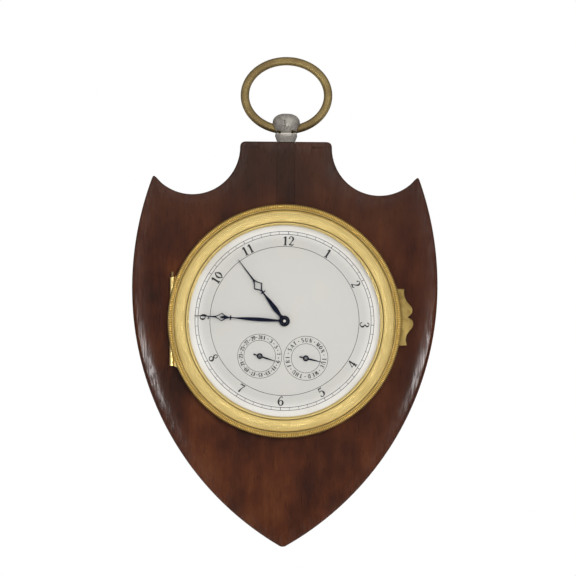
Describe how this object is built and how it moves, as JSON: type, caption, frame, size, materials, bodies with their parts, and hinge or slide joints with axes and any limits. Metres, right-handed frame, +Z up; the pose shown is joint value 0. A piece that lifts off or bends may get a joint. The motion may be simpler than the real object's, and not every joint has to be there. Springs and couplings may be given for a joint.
{
  "type": "travel clock",
  "caption": "Shield-shaped wooden hanging travel clock with a round hinged bezel, silvered calendar dial, blued hands, bow and pendant, rear door and full watch movement.",
  "frame": {"origin": "where a hook touches the inside of the bow, in the middle of the depth of the wood", "axes": "the clock hangs upright: +Z up, the dial faces -Y, +X to the right of someone who reads it"},
  "size_m": [0.1384, 0.0453, 0.2219],
  "materials": {
    "mahogany": "dark polished mahogany",
    "gilt": "gilt, engine-turned",
    "brass": "fine-brushed brass",
    "antique_brass": "darkened brass",
    "silver": "speckled silver",
    "silvered_dial": "silvered, printed in black",
    "blued_steel": "polished and blued",
    "steel": "polished steel",
    "spring_steel": "tempered spring steel",
    "glass": "clear glass"
  },
  "bodies": {
    "case": {"shield_body": "mahogany", "neck_fillet": "mahogany", "bezel_hinge_leaf": "gilt", "back_plate": "gilt", "balance_cock": "gilt", "movement_drum": "brass", "rear_door_frame": "brass", "front_plate": "brass", "pillar_right": "brass", "pillar_left": "brass", "pillar_lower": "brass", "pendant": "silver", "dial": "silvered_dial", "pendant_stem": "steel", "bezel_hinge_pin": "steel", "rear_screw_upper": "steel", "rear_screw_side": "steel", "rear_screw_lower": "steel", "rear_hinge_pin": "steel", "minute_wheel_stud": "steel", "calendar_stud": "steel", "movement_screw_right": "steel", "movement_screw_left": "steel", "movement_screw_lower": "steel", "date_jumper": "spring_steel", "weekday_jumper": "spring_steel", "click_screw": "spring_steel", "click_spring": "spring_steel", "balance_spring": "spring_steel", "cock_screw": "spring_steel"},
    "bow": {"bow": "antique_brass"},
    "bezel": {"bezel": "gilt", "crystal": "glass", "glass_retainer": "gilt", "thumb_piece": "gilt"},
    "rear_door": {"rear_door": "gilt"},
    "minute_hand": {"minute_hand": "blued_steel", "hand_nut": "blued_steel", "cannon_pinion": "steel"},
    "minute_wheel": {"minute_wheel": "brass"},
    "hour_hand": {"hour_hand": "blued_steel", "hour_wheel": "brass"},
    "calendar_wheel": {"calendar_wheel": "brass"},
    "date": {"date_star": "steel", "date_hand": "blued_steel"},
    "weekday": {"weekday_star": "steel", "weekday_hand": "blued_steel"},
    "center_wheel": {"center_wheel": "brass"},
    "barrel": {"barrel": "brass", "barrel_cover": "brass", "mainspring": "spring_steel"},
    "third_wheel": {"third_wheel": "brass"},
    "fourth_wheel": {"fourth_wheel": "brass"},
    "escape_wheel": {"escape_wheel": "steel"},
    "winding_arbor": {"barrel_arbor": "steel", "ratchet_wheel": "steel"},
    "click": {"click": "steel"},
    "pallet_lever": {"pallet_lever": "steel"},
    "balance": {"balance_wheel": "brass"}
  },
  "joints": [
    {"name": "bow_swing", "type": "hinge", "parent": "case", "child": "bow", "pos_m": [0, 0, -0.02893], "axis": [1, 0, 0], "range_deg": [-95, 95]},
    {"name": "bezel_hinge", "type": "hinge", "parent": "case", "child": "bezel", "pos_m": [-0.0508, -0.0214, -0.11583], "axis": [0, 0, -1], "range_deg": [0, 105]},
    {"name": "rear_door_hinge", "type": "hinge", "parent": "case", "child": "rear_door", "pos_m": [0.0407, 0.0167, -0.11583], "axis": [0, 0, -1], "range_deg": [0, 105]},
    {"name": "minute_hand_turn", "type": "hinge", "parent": "case", "child": "minute_hand", "pos_m": [0, -0.02, -0.11583], "axis": [0, 1, 0], "continuous": true},
    {"name": "minute_wheel_turn", "type": "hinge", "parent": "case", "child": "minute_wheel", "pos_m": [0.00512, -0.0135, -0.10771], "axis": [0, 1, 0], "continuous": true},
    {"name": "hour_hand_turn", "type": "hinge", "parent": "case", "child": "hour_hand", "pos_m": [0, -0.0175, -0.11583], "axis": [0, 1, 0], "continuous": true},
    {"name": "calendar_wheel_turn", "type": "hinge", "parent": "case", "child": "calendar_wheel", "pos_m": [-0.00046, -0.016, -0.12782], "axis": [0, 1, 0], "continuous": true},
    {"name": "date_star_turn", "type": "hinge", "parent": "case", "child": "date", "pos_m": [-0.01107, -0.0175, -0.13182], "axis": [0, 1, 0], "continuous": true},
    {"name": "weekday_star_turn", "type": "hinge", "parent": "case", "child": "weekday", "pos_m": [0.00981, -0.0175, -0.13262], "axis": [0, 1, 0], "continuous": true},
    {"name": "center_wheel_turn", "type": "hinge", "parent": "case", "child": "center_wheel", "pos_m": [0, -0.008, -0.11583], "axis": [0, 1, 0], "continuous": true},
    {"name": "barrel_turn", "type": "hinge", "parent": "case", "child": "barrel", "pos_m": [-0.00975, -0.0025, -0.1007], "axis": [0, 1, 0], "continuous": true},
    {"name": "third_wheel_turn", "type": "hinge", "parent": "case", "child": "third_wheel", "pos_m": [0.0132, -0.0015, -0.11868], "axis": [0, 1, 0], "continuous": true},
    {"name": "fourth_wheel_turn", "type": "hinge", "parent": "case", "child": "fourth_wheel", "pos_m": [0.00807, -0.0055, -0.12866], "axis": [0, 1, 0], "continuous": true},
    {"name": "escape_wheel_turn", "type": "hinge", "parent": "case", "child": "escape_wheel", "pos_m": [-0.00159, -0.0003, -0.13085], "axis": [0, 1, 0], "continuous": true},
    {"name": "winding_arbor_turn", "type": "hinge", "parent": "case", "child": "winding_arbor", "pos_m": [-0.00975, 0.006, -0.1007], "axis": [0, 1, 0], "continuous": true},
    {"name": "click_lift", "type": "hinge", "parent": "case", "child": "click", "pos_m": [0.00129, 0.0065, -0.09715], "axis": [0, -1, 0], "range_deg": [0, 15], "stiffness_Nm_per_rad": 0.002},
    {"name": "pallet_lever_rock", "type": "hinge", "parent": "case", "child": "pallet_lever", "pos_m": [-0.0068, -0.0003, -0.1349], "axis": [0, 1, 0], "range_deg": [-5, 5]},
    {"name": "balance_turn", "type": "hinge", "parent": "case", "child": "balance", "pos_m": [-0.01431, 0.0072, -0.14072], "axis": [0, 1, 0], "range_deg": [-120, 120], "stiffness_Nm_per_rad": 0.00018}
  ],
  "couplings": [
    {"joint": "minute_wheel_turn", "follows": "minute_hand_turn", "ratio": -0.33333},
    {"joint": "hour_hand_turn", "follows": "minute_hand_turn", "ratio": 0.083333},
    {"joint": "calendar_wheel_turn", "follows": "minute_hand_turn", "ratio": -0.041667},
    {"joint": "date_star_turn", "follows": "minute_hand_turn", "ratio": 0.0013441},
    {"joint": "weekday_star_turn", "follows": "minute_hand_turn", "ratio": 0.0059524},
    {"joint": "barrel_turn", "follows": "center_wheel_turn", "ratio": -0.125},
    {"joint": "third_wheel_turn", "follows": "center_wheel_turn", "ratio": -8},
    {"joint": "fourth_wheel_turn", "follows": "center_wheel_turn", "ratio": 60},
    {"joint": "escape_wheel_turn", "follows": "center_wheel_turn", "ratio": -600}
  ]
}
